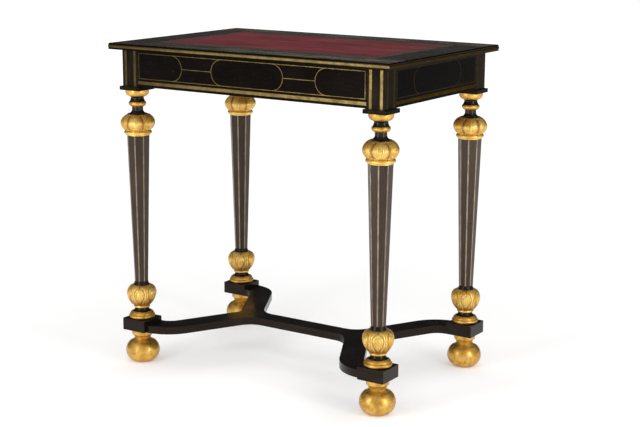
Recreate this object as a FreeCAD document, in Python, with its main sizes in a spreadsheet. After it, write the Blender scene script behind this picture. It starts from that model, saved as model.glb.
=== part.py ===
"""An ebonised, brass-inlaid and parcel-gilt centre table with one frieze drawer.

Lengths are millimetres. The origin is on the floor under the middle of the top, +Z is up,
the drawer faces -Y and the long sides run along X.
"""
import FreeCAD, Part
import math
import os
import types

import Sketcher

# Driving sizes: name, value, meaning
SIZES = [
    ("table_height", 760, "floor to the upper face of the top"),
    ("top_length", 746, "top along X"),
    ("top_width", 490, "top along Y"),
    ("top_thickness", 14.5, "top board"),
    ("lip_radius", 3, "rounding of the upper edge of the top"),
    ("lower_lip", 4, "black edge under the brass band of the top"),
    ("edge_band_height", 6, "brass band round the top"),
    ("edge_band_depth", 3, "how deep the band is let in"),
    ("edge_bulge", 0.8, "how far the band swells past the black edge"),
    ("leather_border", 75, "black border round the leather"),
    ("leather_thickness", 1.2, "leather let into the top"),
    ("overhang_x", 22.5, "top past the corner blocks along X"),
    ("overhang_y", 23.5, "top past the corner blocks along Y"),
    ("block_size", 45, "square corner block"),
    ("frieze_height", 85, "corner block from abacus to top"),
    ("abacus_size", 57, "square plate under the block"),
    ("abacus_thickness", 9, "plate under the block"),
    ("edge_round", 0.8, "eased edges of plates and blocks"),
    ("pin_radius", 9, "turned pins that hold the legs together"),
    ("pin_clearance", 0.15, "room round a pin"),
    ("neck_pin_length", 28, "pin above the abacus, in the block"),
    ("shaft_pin_length", 10, "shaft pin past the capital and past the bulb"),
    ("base_pin_length", 30, "base pin in the foot"),
    ("bore_end", 0.5, "room at the end of a blind bore"),
    ("collar_radius", 27.2, "gilt collar under the abacus"),
    ("collar_band", 5, "upright part of the collar"),
    ("ovolo_radius", 19, "foot of the collar's ovolo"),
    ("ovolo_height", 10, "rounded part of the collar"),
    ("ovolo_swell", 2, "rounding of the ovolo"),
    ("cove_height", 3, "hollow under the ovolo"),
    ("cove_hollow", 0.5, "depth of the hollow under the ovolo"),
    ("neck_radius", 15.2, "black neck at its top"),
    ("neck_foot_radius", 18.4, "black neck where it meets the knop"),
    ("neck_height", 9.5, "black neck between collar and knop"),
    ("neck_hollow", 0.8, "hollow of the black neck"),
    ("knop_radius", 20.6, "gilt knop at its edge"),
    ("knop_upper", 4.5, "knop above its edge"),
    ("knop_lower", 7.5, "knop below its edge"),
    ("knop_lower_swell", 1.6, "rounding of the knop below its edge"),
    ("knop_upper_swell", 0.7, "rounding of the knop above its edge"),
    ("bell_neck_radius", 13.1, "upright part of the black bell"),
    ("bell_height", 17, "black bell over the capital"),
    ("bell_flare", 8, "flare at the foot of the bell"),
    ("bell_hollow", 2.1, "hollow of the flare"),
    ("bell_lip", 1, "upright edge of the bell's foot"),
    ("shoulder_radius", 23, "bell and capital where they meet"),
    ("capital_radius", 40.2, "capital at its widest"),
    ("capital_upper", 20, "capital above its widest"),
    ("capital_lower", 18.5, "capital below its widest"),
    ("capital_upper_swell", 3.6, "rounding of the capital above its widest"),
    ("capital_lower_swell", 1.7, "rounding of the capital below its widest"),
    ("ring_radius", 32.3, "ring under the capital"),
    ("ring_height", 8, "ring under the capital"),
    ("shaft_band_radius", 28.2, "gilt band round the shaft's top"),
    ("shaft_band_height", 2, "gilt band round the shaft's top"),
    ("shaft_top_radius", 27.4, "eight-sided shaft over its corners, at the top"),
    ("shaft_foot_radius", 16.5, "eight-sided shaft over its corners, at the foot"),
    ("shaft_string", 1.5, "brass string on each side of an arris"),
    ("flare_radius", 19, "black flare at the shaft's foot"),
    ("flare_height", 9, "black flare at the shaft's foot"),
    ("bulb_top_radius", 19.5, "bulb where it meets the flare"),
    ("bulb_radius", 34.1, "bulb at its widest"),
    ("bulb_upper", 20, "bulb above its widest"),
    ("bulb_lower", 30.5, "bulb below its widest"),
    ("bulb_upper_swell", 4.2, "rounding of the bulb above its widest"),
    ("bulb_lower_swell", 3.8, "rounding of the bulb below its widest"),
    ("bulb_foot_radius", 18.4, "foot of the bulb"),
    ("bulb_ring_radius", 19.4, "thin ring under the bulb"),
    ("bulb_ring_height", 4.5, "thin ring under the bulb"),
    ("base_neck_radius", 16, "black neck over the base"),
    ("base_neck_height", 9.5, "black neck over the base"),
    ("base_neck_foot_radius", 21.5, "foot of the black neck"),
    ("base_neck_hollow", 1.4, "hollow of the black neck"),
    ("base_upper_radius", 28.5, "foot of the base's upper moulding"),
    ("base_upper_height", 6.5, "upper moulding of the base"),
    ("base_upper_swell", 1.5, "rounding of the upper moulding"),
    ("base_radius", 31, "lower moulding of the base"),
    ("base_height", 10, "lower moulding of the base"),
    ("stretcher_block_size", 65, "square block of the stretcher"),
    ("stretcher_block_height", 28.5, "square block of the stretcher"),
    ("stretcher_thickness", 17.5, "bar and arms of the stretcher"),
    ("stretcher_width", 46, "bar and arms of the stretcher"),
    ("arm_flank", 32, "arm from its middle line to its edge at the table's end"),
    ("arm_bend", 70, "radius of an arm's bends, at its middle line"),
    ("arm_angle", 62, "degrees that an arm turns from X between its bends"),
    ("throat_radius", 16, "rounded fork between two arms"),
    ("tongue_length", 30, "tongue of the bar between two arms"),
    ("foot_height", 78.5, "bun foot"),
    ("foot_top_radius", 25, "foot under the stretcher block"),
    ("foot_top_height", 12, "upright part of the foot under the block"),
    ("foot_neck_radius", 18.8, "narrowest part of the foot"),
    ("foot_neck_height", 9.5, "neck of the foot, from its top to its narrowest"),
    ("foot_neck_hollow", 1, "hollow of the foot's neck"),
    ("bun_shoulder_radius", 29.5, "bun where it meets the hollow over it"),
    ("bun_shoulder", 48.8, "height of the bun's shoulder"),
    ("bun_shoulder_hollow", 1.2, "hollow over the bun"),
    ("bun_radius", 40, "bun at its widest"),
    ("bun_middle", 26, "height of the bun's widest part"),
    ("bun_upper_swell", 3, "rounding of the bun above its widest"),
    ("bun_lower_swell", 4.7, "rounding of the bun below its widest"),
    ("bun_foot_radius", 22, "flat under the bun"),
    ("apron_thickness", 20, "frieze boards and drawer front"),
    ("apron_lift", 1, "apron and drawer front above the abacus"),
    ("tenon_length", 12, "tenons of aprons, rails and arms"),
    ("tenon_thickness", 8, "tenons of aprons, rails and arms"),
    ("tenon_shoulder", 10, "shoulder above and below an apron's tenon"),
    ("tenon_clearance", 0.2, "room round and past a tenon"),
    ("rail_thickness", 12, "front rails, runners and kickers"),
    ("lower_rail_lift", 2.5, "lower rail above the bottom of the drawer front"),
    ("reveal", 0.5, "gap round the drawer front"),
    ("drawer_stop_gap", 0.4, "drawer front to the rails when shut"),
    ("runner_gap", 0.3, "drawer sides over the runners"),
    ("kicker_gap", 1.2, "drawer sides under the kickers"),
    ("guide_gap", 0.4, "drawer sides to the guides"),
    ("guide_width", 12, "guide strip beside a drawer side"),
    ("guide_height", 14, "guide strip above its runner"),
    ("drawer_side_thickness", 10, "drawer sides and back"),
    ("drawer_length", 350, "drawer sides"),
    ("drawer_bottom_thickness", 6, "drawer bottom"),
    ("drawer_bottom_rise", 6, "drawer bottom over the lower edge of the sides"),
    ("groove_depth", 4, "grooves of the drawer bottom and back"),
    ("back_inset", 8, "drawer back from the end of the sides"),
    ("tail_length", 12, "dovetails in the drawer front"),
    ("tail_root", 12, "dovetail at its root"),
    ("tail_end", 18, "dovetail at its end"),
    ("finger_length", 150, "finger groove under the drawer front"),
    ("finger_depth", 8, "finger groove under the drawer front"),
    ("finger_width", 9, "finger groove under the drawer front"),
    ("inlay_depth", 1, "brass let into the frieze"),
    ("band_width", 7, "brass band along the frieze"),
    ("band_rise", 6, "band above the bottom of the apron"),
    ("string_width", 1.1, "thin brass stringing"),
    ("string_rise", 18.5, "lower string above the bottom of the apron"),
    ("string_drop", 6.5, "upper string under the top of the apron"),
    ("string_inset", 2.5, "end string from the end of the panel"),
    ("outer_apex", 178, "tip of the outer lobes from the middle, long sides"),
    ("inner_apex", 96.5, "tip of the middle panel from the middle, long sides"),
    ("end_apex", 105, "tip of the middle panel from the middle, ends"),
    ("strip_width", 6.5, "upright brass strips of a block"),
    ("strip_margin", 6, "strip from the edge of its block"),
]

CORNERS = {
    "front_left": (-1, -1),
    "front_right": (1, -1),
    "back_left": (-1, 1),
    "back_right": (1, 1),
}
SIDES = {"left": -1, "right": 1}
ARRISES = 8
# A round moulding stands out by this share of its height
MOULDING_SWELL = 0.42
UPRIGHT = FreeCAD.Vector(0, 0, 1)

doc = FreeCAD.newDocument("centre_table")
sheet = doc.addObject("Spreadsheet::Sheet", "Sizes")
subparts = []


class Size:
    """A cell of the sheet, or a formula of cells: its text is an expression."""

    def __init__(self, text, value):
        self.text = text
        self.value = value

    def __add__(self, other):
        other = as_size(other)
        return Size("(%s + %s)" % (self.text, other.text), self.value + other.value)

    def __sub__(self, other):
        other = as_size(other)
        return Size("(%s - %s)" % (self.text, other.text), self.value - other.value)

    def __mul__(self, other):
        other = as_size(other)
        return Size("(%s * %s)" % (self.text, other.text), self.value * other.value)

    def __truediv__(self, other):
        other = as_size(other)
        return Size("(%s / %s)" % (self.text, other.text), self.value / other.value)

    def __neg__(self):
        return Size("(0 - %s)" % self.text, -self.value)


def as_size(amount):
    """A plain number as a Size; a Size stays as it is."""
    if isinstance(amount, Size):
        return amount
    return Size("(%s)" % amount, amount)


def root(amount):
    return Size("sqrt(%s)" % amount.text, math.sqrt(amount.value))


def sine(angle):
    return Size("sin(%s)" % angle.text, math.sin(math.radians(angle.value)))


def cosine(angle):
    return Size("cos(%s)" % angle.text, math.cos(math.radians(angle.value)))


def fill_sheet():
    """Writes every driving size into the sheet and gives it back as named Sizes."""
    named = types.SimpleNamespace()
    for row, (name, value, meaning) in enumerate(SIZES, start=1):
        sheet.set("A%d" % row, meaning)
        sheet.set("B%d" % row, str(value))
        sheet.setAlias("B%d" % row, name)
    doc.recompute()
    for name, value, meaning in SIZES:
        setattr(named, name, Size("Sizes." + name, float(sheet.get(name))))
    return named


dim = fill_sheet()

# Levels and places that several pieces share
half_block = dim.block_size / 2
leg_x = dim.top_length / 2 - dim.overhang_x - half_block
leg_y = dim.top_width / 2 - dim.overhang_y - half_block
top_under = dim.table_height - dim.top_thickness
frieze_low = top_under - dim.frieze_height
abacus_low = frieze_low - dim.abacus_thickness
neck_low = (abacus_low - dim.collar_band - dim.ovolo_height - dim.cove_height - dim.neck_height
            - dim.knop_upper - dim.knop_lower - dim.bell_height)
capital_low = neck_low - dim.capital_upper - dim.capital_lower - dim.ring_height - dim.shaft_band_height
stretcher_low = dim.foot_height
stretcher_top = stretcher_low + dim.stretcher_block_height
base_top = stretcher_top + dim.base_height + dim.base_upper_height + dim.base_neck_height
bulb_top = base_top + dim.bulb_ring_height + dim.bulb_lower + dim.bulb_upper
shaft_low = bulb_top + dim.flare_height
bore_radius = dim.pin_radius + dim.pin_clearance
apron_low = frieze_low + dim.apron_lift
long_face = leg_y + half_block
end_face = leg_x + half_block
long_half = leg_x - half_block
end_half = leg_y - half_block
rail_front = long_face - dim.apron_thickness
lower_rail_low = apron_low + dim.lower_rail_lift
runner_top = lower_rail_low + dim.rail_thickness
kicker_low = top_under - dim.rail_thickness
drawer_side_out = long_half - dim.guide_width - dim.guide_gap
drawer_side_in = drawer_side_out - dim.drawer_side_thickness
drawer_side_low = runner_top + dim.runner_gap
drawer_side_top = kicker_low - dim.kicker_gap
drawer_front_back = rail_front + dim.drawer_stop_gap
drawer_floor = drawer_side_low + dim.drawer_bottom_rise
arm_middle = stretcher_low + dim.stretcher_thickness / 2
arm_end = leg_x - dim.stretcher_block_size / 2


def bind(thing, path, amount):
    thing.setExpression(path, as_size(amount).text)


def place(thing, x, y, z):
    for axis, amount in zip("xyz", (x, y, z)):
        bind(thing, "Placement.Base." + axis, amount)


def finish(label, thing):
    """Names a sub-part; the label is also its file's name."""
    thing.Label = label
    subparts.append(thing)
    return thing


def span(sign, near, far):
    """A stretch from near to far on the positive or the negative side."""
    if sign > 0:
        return (near, far)
    return (-as_size(far), -as_size(near))


def both(amount):
    return (-as_size(amount), as_size(amount))


def about(middle, width):
    return (as_size(middle) - width / 2, as_size(middle) + width / 2)


def box(name, x, y, z):
    """A block between a low and a high value on each axis."""
    block = doc.addObject("Part::Box", name)
    for side, (low, high) in zip(("Length", "Width", "Height"), (x, y, z)):
        bind(block, side, as_size(high) - low)
    place(block, x[0], y[0], z[0])
    return block


def cylinder(name, x, y, radius, z):
    rod = doc.addObject("Part::Cylinder", name)
    bind(rod, "Radius", radius)
    bind(rod, "Height", as_size(z[1]) - z[0])
    place(rod, x, y, z[0])
    return rod


def fuse(name, *pieces):
    joined = doc.addObject("Part::MultiFuse", name)
    joined.Shapes = list(pieces)
    return joined


def group(name, *pieces):
    gathered = doc.addObject("Part::Compound", name)
    gathered.Links = list(pieces)
    return gathered


def cut(name, base, *tools):
    remains = doc.addObject("Part::Cut", name)
    remains.Base = base
    remains.Tool = tools[0] if len(tools) == 1 else group(name + "_tools", *tools)
    return remains


def eased(name, base):
    """Rounds every edge of a plain block a little."""
    doc.recompute()
    soft = doc.addObject("Part::Fillet", name)
    soft.Base = base
    radius = dim.edge_round.value
    soft.Edges = [(index + 1, radius, radius) for index in range(len(base.Shape.Edges))]
    return soft


def bow(amount):
    """A side of an outline that swells by this much to the right of its direction."""
    return ("bow", as_size(amount))


def bend(radius, turn):
    """A side of an outline with this radius; turn is 1 to the left and -1 to the right."""
    return ("bend", as_size(radius), turn)


def radius_and_turn(side, start, end):
    if side[0] == "bend":
        return side[1], side[2]
    across = end[0] - start[0]
    along = end[1] - start[1]
    swell = side[1] if side[1].value > 0 else -side[1]
    radius = (across * across + along * along) / (swell * 8) + swell / 2
    return radius, 1 if side[1].value > 0 else -1


def arc_between(start, end, radius, turn):
    """The short arc from start to end, and whether it runs from its own start."""
    first, last = (start, end) if turn > 0 else (end, start)
    chord = last - first
    middle = (first + last) * 0.5
    reach = math.sqrt(max(radius ** 2 - (chord.Length / 2) ** 2, 0))
    left = UPRIGHT.cross(chord)
    left.normalize()
    centre = middle + left * reach
    begin = math.atan2(first.y - centre.y, first.x - centre.x)
    stop = math.atan2(last.y - centre.y, last.x - centre.x)
    if stop < begin:
        stop += 2 * math.pi
    return Part.ArcOfCircle(Part.Circle(centre, UPRIGHT, radius), begin, stop)


def outline(body, plane, stations):
    """A closed sketch whose corners and arcs are all bound to the sheet."""
    sketch = body.newObject("Sketcher::SketchObject", body.Name + "_outline")
    support = [feature for feature in body.Origin.OriginFeatures if feature.Role == plane]
    sketch.AttachmentSupport = (support[0], [""])
    sketch.MapMode = "FlatFace"
    points = [(as_size(station[0]), as_size(station[1])) for station in stations]
    ends = []
    rounds = []
    for index, station in enumerate(stations):
        start = points[index]
        end = points[(index + 1) % len(points)]
        start_at = FreeCAD.Vector(start[0].value, start[1].value, 0)
        end_at = FreeCAD.Vector(end[0].value, end[1].value, 0)
        if len(station) == 2:
            edge = sketch.addGeometry(Part.LineSegment(start_at, end_at))
            ends.append((edge, 1, 2))
            continue
        radius, turn = radius_and_turn(station[2], start, end)
        edge = sketch.addGeometry(arc_between(start_at, end_at, radius.value, turn))
        ends.append((edge, 1, 2) if turn > 0 else (edge, 2, 1))
        rounds.append((edge, radius))
    bound = []
    for index, (edge, first, last) in enumerate(ends):
        following = ends[(index + 1) % len(ends)]
        sketch.addConstraint(Sketcher.Constraint("Coincident", edge, last, following[0], following[1]))
        for kind, axis, amount in zip(("DistanceX", "DistanceY"), (-2, -1), points[index]):
            if amount.value == 0:
                sketch.addConstraint(Sketcher.Constraint("PointOnObject", edge, first, axis))
                continue
            rule = Sketcher.Constraint(kind, -1, 1, edge, first, amount.value)
            bound.append((sketch.addConstraint(rule), amount))
    for edge, radius in rounds:
        rule = Sketcher.Constraint("Radius", edge, radius.value)
        bound.append((sketch.addConstraint(rule), radius))
    for index, amount in bound:
        bind(sketch, "Constraints[%d]" % index, amount)
    return sketch


def turned(name, x, y, stations):
    """A piece turned about an upright axis at x, y, from its half section."""
    body = doc.addObject("PartDesign::Body", name)
    sketch = outline(body, "XZ_Plane", stations)
    lathe = body.newObject("PartDesign::Revolution", name + "_turning")
    lathe.Profile = sketch
    lathe.ReferenceAxis = (sketch, ["V_Axis"])
    lathe.Angle = 360
    body.Tip = lathe
    place(body, x, y, 0)
    return body


def plate(name, stations, low, thickness):
    """A flat piece with an outline drawn from above."""
    body = doc.addObject("PartDesign::Body", name)
    sketch = outline(body, "XY_Plane", stations)
    pad = body.newObject("PartDesign::Pad", name + "_pad")
    pad.Profile = sketch
    bind(pad, "Length", thickness)
    body.Tip = pad
    place(body, 0, 0, low)
    return body


# The leg, from the abacus down
def make_abacus(corner, x, y):
    slab = box("abacus_slab", about(x, dim.abacus_size), about(y, dim.abacus_size), (abacus_low, frieze_low))
    bore = cylinder("abacus_bore", x, y, bore_radius, (abacus_low, frieze_low))
    finish("abacus_" + corner, cut("abacus", eased("abacus_soft", slab), bore))


def make_neck(corner, x, y):
    pin_top = frieze_low + dim.neck_pin_length
    bore_top = neck_low + dim.shaft_pin_length + dim.bore_end
    lip_top = neck_low + dim.bell_lip
    knop_low = neck_low + dim.bell_height
    knop_edge = knop_low + dim.knop_lower
    knop_top = knop_edge + dim.knop_upper
    cove_low = knop_top + dim.neck_height
    ovolo_low = cove_low + dim.cove_height
    collar_low = ovolo_low + dim.ovolo_height
    finish("leg_neck_" + corner, turned("neck_turned", x, y, [
        (0, bore_top),
        (bore_radius, bore_top),
        (bore_radius, neck_low),
        (dim.shoulder_radius, neck_low),
        (dim.shoulder_radius, lip_top, bow(-dim.bell_hollow)),
        (dim.bell_neck_radius, lip_top + dim.bell_flare),
        (dim.bell_neck_radius, knop_low, bow(dim.knop_lower_swell)),
        (dim.knop_radius, knop_edge, bow(dim.knop_upper_swell)),
        (dim.neck_foot_radius, knop_top, bow(-dim.neck_hollow)),
        (dim.neck_radius, cove_low, bow(-dim.cove_hollow)),
        (dim.ovolo_radius, ovolo_low, bow(dim.ovolo_swell)),
        (dim.collar_radius, collar_low),
        (dim.collar_radius, abacus_low),
        (dim.pin_radius, abacus_low),
        (dim.pin_radius, pin_top),
        (0, pin_top),
    ]))


def make_capital(corner, x, y):
    ring_low = capital_low + dim.shaft_band_height
    ring_top = ring_low + dim.ring_height
    ring_swell = dim.ring_height * MOULDING_SWELL
    ring_root = dim.ring_radius - ring_swell
    widest = ring_top + dim.capital_lower
    finish("leg_capital_" + corner, turned("capital_turned", x, y, [
        (bore_radius, capital_low),
        (dim.shaft_band_radius, capital_low),
        (dim.shaft_band_radius, ring_low),
        (ring_root, ring_low, bow(ring_swell)),
        (ring_root, ring_top, bow(dim.capital_lower_swell)),
        (dim.capital_radius, widest, bow(dim.capital_upper_swell)),
        (dim.shoulder_radius, neck_low),
        (bore_radius, neck_low),
    ]))


def notched_corner(radius, index):
    """The four points of an arris: its tip, a point down each facet, and one below the tip."""
    side = dim.shaft_string.value
    facet = 2 * math.pi / ARRISES
    angle = facet * (index + 0.5)
    tip = FreeCAD.Vector(radius * math.cos(angle), radius * math.sin(angle), 0)
    along = angle + math.pi / 2 + facet / 2
    back = angle - math.pi / 2 - facet / 2
    after = tip + FreeCAD.Vector(math.cos(along), math.sin(along), 0) * side
    before = tip + FreeCAD.Vector(math.cos(back), math.sin(back), 0) * side
    below = after + before - tip
    inward = FreeCAD.Vector(math.cos(angle), math.sin(angle), 0) * side
    below = below - inward
    return before, tip, after, below


def raised(points, height):
    lifted = [point + UPRIGHT * height for point in points]
    return Part.makePolygon(lifted + lifted[:1])


def tapered(section):
    """A straight taper whose section, given for each radius, runs from the flare to the capital."""
    low = raised(section(dim.shaft_foot_radius.value), shaft_low.value)
    high = raised(section(dim.shaft_top_radius.value), capital_low.value)
    return Part.makeLoft([low, high], True, True)


def shaft_section(radius):
    points = []
    for index in range(ARRISES):
        before, tip, after, below = notched_corner(radius, index)
        points += [before, below, after]
    return points


def shaft_string_shapes():
    strings = []
    for index in range(ARRISES):
        strings.append(tapered(lambda radius: notched_corner(radius, index)))
    return strings


def make_shaft(corner, x, y):
    foot = doc.addObject("Part::Cone", "shaft_flare")
    bind(foot, "Radius1", dim.flare_radius)
    bind(foot, "Radius2", dim.shaft_foot_radius * cosine(as_size(180 / ARRISES)))
    bind(foot, "Height", dim.flare_height)
    place(foot, x, y, bulb_top)
    lower_pin = cylinder("shaft_lower_pin", x, y, dim.pin_radius,
                         (base_top - dim.shaft_pin_length, bulb_top))
    upper_pin = cylinder("shaft_upper_pin", x, y, dim.pin_radius,
                         (capital_low, neck_low + dim.shaft_pin_length))
    taper = doc.addObject("Part::Feature", "shaft_taper")
    taper.Shape = tapered(shaft_section)
    place(taper, x, y, 0)
    finish("leg_shaft_" + corner, fuse("shaft", taper, foot, lower_pin, upper_pin))


def make_shaft_strings():
    strings = []
    for x_sign, y_sign in CORNERS.values():
        eight = doc.addObject("Part::Feature", "strings_of_shaft")
        eight.Shape = Part.Compound(shaft_string_shapes())
        place(eight, leg_x * x_sign, leg_y * y_sign, 0)
        strings.append(eight)
    finish("shaft_strings", group("all_strings", *strings))


def make_bulb(corner, x, y):
    foot = base_top + dim.bulb_ring_height
    widest = foot + dim.bulb_lower
    finish("leg_bulb_" + corner, turned("bulb_turned", x, y, [
        (bore_radius, base_top),
        (dim.bulb_foot_radius, base_top, bow(dim.bulb_ring_radius - dim.bulb_foot_radius)),
        (dim.bulb_foot_radius, foot, bow(dim.bulb_lower_swell)),
        (dim.bulb_radius, widest, bow(dim.bulb_upper_swell)),
        (dim.bulb_top_radius, bulb_top),
        (bore_radius, bulb_top),
    ]))


def make_base(corner, x, y):
    groove = stretcher_top + dim.base_height
    neck_foot = groove + dim.base_upper_height
    pin_low = stretcher_low - dim.base_pin_length
    bore_low = base_top - dim.shaft_pin_length - dim.bore_end
    lower_swell = dim.base_height * MOULDING_SWELL
    finish("leg_base_" + corner, turned("base_turned", x, y, [
        (0, pin_low),
        (dim.pin_radius, pin_low),
        (dim.pin_radius, stretcher_top),
        (dim.base_radius - lower_swell, stretcher_top, bow(lower_swell)),
        (dim.base_radius - lower_swell, groove),
        (dim.base_upper_radius, groove, bow(dim.base_upper_swell)),
        (dim.base_neck_foot_radius, neck_foot, bow(-dim.base_neck_hollow)),
        (dim.base_neck_radius, base_top),
        (bore_radius, base_top),
        (bore_radius, bore_low),
        (0, bore_low),
    ]))


def make_stretcher_block(corner, x, y, x_sign):
    cube = box("stretcher_cube", about(x, dim.stretcher_block_size), about(y, dim.stretcher_block_size),
               (stretcher_low, stretcher_top))
    bore = cylinder("stretcher_bore", x, y, bore_radius, (stretcher_low, stretcher_top))
    mortise = box("arm_mortise",
                  span(x_sign, arm_end, arm_end + dim.tenon_length + dim.tenon_clearance),
                  about(y, dim.stretcher_width / 2 + dim.tenon_clearance * 2),
                  about(arm_middle, dim.tenon_thickness + dim.tenon_clearance * 2))
    soft = eased("stretcher_cube_soft", cube)
    finish("stretcher_block_" + corner, cut("stretcher_block", soft, bore, mortise))


def make_foot(corner, x, y):
    neck_top = dim.foot_height - dim.foot_top_height
    neck = neck_top - dim.foot_neck_height
    bore_low = dim.foot_height - dim.base_pin_length - dim.bore_end
    finish("bun_foot_" + corner, turned("foot_turned", x, y, [
        (0, 0),
        (dim.bun_foot_radius, 0, bow(dim.bun_lower_swell)),
        (dim.bun_radius, dim.bun_middle, bow(dim.bun_upper_swell)),
        (dim.bun_shoulder_radius, dim.bun_shoulder, bow(-dim.bun_shoulder_hollow)),
        (dim.foot_neck_radius, neck, bow(-dim.foot_neck_hollow)),
        (dim.foot_top_radius, neck_top),
        (dim.foot_top_radius, dim.foot_height),
        (bore_radius, dim.foot_height),
        (bore_radius, bore_low),
        (0, bore_low),
    ]))


# The frieze
def make_inlay(name, half_length, high, apexes, linked):
    """Brass of one frieze panel, drawn on a panel whose face is y = 0 and whose foot is z = 0.

    Each apex is the tip of a half round string: a positive one swells outwards from the
    middle and a negative one swells towards it. Linked panels have a string between the tips.
    """
    thin = dim.string_width
    deep = (0, dim.inlay_depth)
    low = dim.string_rise
    top = high - dim.string_drop
    reach = half_length - dim.string_inset
    frame = cut(name + "_border", box(name + "_sheet", both(reach), deep, (low, top)),
                box(name + "_field", both(reach - thin), deep, (low + thin, top - thin)))
    middle = (low + top) / 2
    radius = (top - low) / 2
    strings = [frame]
    for apex, swell in apexes:
        for sign in SIDES.values():
            strings.append(half_round(name, sign, apex, swell, radius, middle))
    if linked:
        for sign in SIDES.values():
            tips = span(sign, apexes[0][0] - thin / 2, apexes[1][0] + thin / 2)
            strings.append(box(name + "_link", tips, deep, about(middle, thin)))
    band = box(name + "_band", both(half_length), deep, (dim.band_rise, dim.band_rise + dim.band_width))
    return group(name, fuse(name + "_strings", *strings), band)


def half_round(name, sign, apex, swell, radius, middle):
    """A half round string with its tip at apex, on the side that sign gives."""
    thin = dim.string_width
    facing = sign * swell
    halves = []
    for size in (radius, radius - thin):
        half = doc.addObject("Part::Cylinder", name + "_round")
        bind(half, "Radius", size)
        bind(half, "Height", dim.inlay_depth)
        half.Angle = 180
        turn = FreeCAD.Rotation(FreeCAD.Vector(0, 1, 0), -90 * facing)
        half.Placement.Rotation = turn * FreeCAD.Rotation(FreeCAD.Vector(1, 0, 0), -90)
        place(half, apex * sign - radius * facing, 0, middle)
        halves.append(half)
    return cut(name + "_arc", *halves)


def put_on_face(inlay, quarter_turns, x, y):
    inlay.Placement.Rotation = FreeCAD.Rotation(UPRIGHT, 90 * quarter_turns)
    place(inlay, x, y, apron_low)
    return inlay


def tenon_height(grow):
    return (apron_low + dim.tenon_shoulder - grow, top_under - dim.tenon_shoulder + grow)


def make_aprons():
    panel = top_under - apron_low
    long_apexes = [(dim.inner_apex, 1), (dim.outer_apex, -1)]
    inlays = [put_on_face(make_inlay("back_brass", long_half, panel, long_apexes, True), 2, 0, long_face)]
    tenon = about(long_face - dim.apron_thickness / 2, dim.tenon_thickness)
    board = fuse("back_board_tenoned",
                 box("back_board", both(long_half), (rail_front, long_face), (apron_low, top_under)),
                 box("back_tenons", both(long_half + dim.tenon_length), tenon, tenon_height(0)))
    finish("apron_back", cut("back", board, inlays[0]))
    for side, sign in SIDES.items():
        face = span(sign, end_face - dim.apron_thickness, end_face)
        tenon = span(sign, *about(end_face - dim.apron_thickness / 2, dim.tenon_thickness))
        board = fuse(side + "_board_tenoned",
                     box(side + "_board", face, both(end_half), (apron_low, top_under)),
                     box(side + "_tenons", tenon, both(end_half + dim.tenon_length), tenon_height(0)))
        brass = make_inlay(side + "_brass", end_half, panel, [(dim.end_apex, 1)], False)
        inlays.append(put_on_face(brass, sign, end_face * sign, 0))
        finish("apron_" + side, cut(side + "_apron", board, inlays[-1]))
    finish("apron_inlay", group("apron_brass", *inlays))


def rail_levels():
    """Height of the front rails and of the runners and kickers behind them."""
    return {"lower": (lower_rail_low, runner_top), "upper": (kicker_low, top_under)}


def make_rails():
    depth = (-rail_front, -end_half)
    tenon_depth = (-rail_front + dim.tenon_shoulder / 2, -end_half - dim.tenon_shoulder / 2)
    for name, (low, high) in rail_levels().items():
        tenon = about((low + high) / 2, dim.tenon_thickness)
        rail = box(name + "_rail_board", both(long_half), depth, (low, high))
        ends = box(name + "_rail_tenons", both(long_half + dim.tenon_length), tenon_depth, tenon)
        finish(name + "_rail", fuse(name + "_rail_tenoned", rail, ends))


def make_block(corner, x, y, x_sign, y_sign):
    """A corner block with its brass strips, mortises and pin bore; gives the strips back."""
    room = dim.tenon_clearance
    height = (frieze_low, top_under)
    cube = box("corner_cube", about(x, dim.block_size), about(y, dim.block_size), height)
    bore = cylinder("corner_bore", x, y, bore_radius,
                    (frieze_low, frieze_low + dim.neck_pin_length + dim.bore_end))
    strips = []
    step = half_block - dim.strip_margin - dim.strip_width / 2
    for offset in (-step, step):
        along_x = about(x + offset, dim.strip_width)
        along_y = about(y + offset, dim.strip_width)
        on_long = span(y_sign, long_face - dim.inlay_depth, long_face)
        on_end = span(x_sign, end_face - dim.inlay_depth, end_face)
        strips.append(box("long_strip", along_x, on_long, height))
        strips.append(box("end_strip", on_end, along_y, height))
    end_tenon = about(end_face - dim.apron_thickness / 2, dim.tenon_thickness + room * 2)
    mortises = [box("end_mortise", span(x_sign, *end_tenon),
                    span(y_sign, end_half, end_half + dim.tenon_length + room), tenon_height(room))]
    depth = span(x_sign, long_half, long_half + dim.tenon_length + room)
    if y_sign > 0:
        tenon = about(long_face - dim.apron_thickness / 2, dim.tenon_thickness + room * 2)
        mortises.append(box("back_mortise", depth, tenon, tenon_height(room)))
    else:
        for name, (low, high) in rail_levels().items():
            tenon = about((low + high) / 2, dim.tenon_thickness + room * 2)
            across = (-rail_front + dim.tenon_shoulder / 2 - room, -end_half - dim.tenon_shoulder / 2 + room)
            mortises.append(box(name + "_mortise", depth, across, tenon))
    finish("corner_block_" + corner, cut("corner", cube, bore, *strips, *mortises))
    return strips


def make_runners_and_kickers():
    runners = []
    kickers = []
    levels = rail_levels()
    guide_out = drawer_side_out + dim.guide_gap + dim.guide_width
    for side, sign in SIDES.items():
        across = span(sign, drawer_side_in, end_face - dim.apron_thickness)
        bed = box(side + "_bed", across, both(end_half), levels["lower"])
        guide = box(side + "_guide", span(sign, drawer_side_out + dim.guide_gap, guide_out), both(end_half),
                    (runner_top, runner_top + dim.guide_height))
        runners += [bed, guide]
        kickers.append(box(side + "_kicker", across, both(end_half), levels["upper"]))
    finish("drawer_runners", group("runners", *runners))
    finish("drawer_kickers", group("kickers", *kickers))


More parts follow.
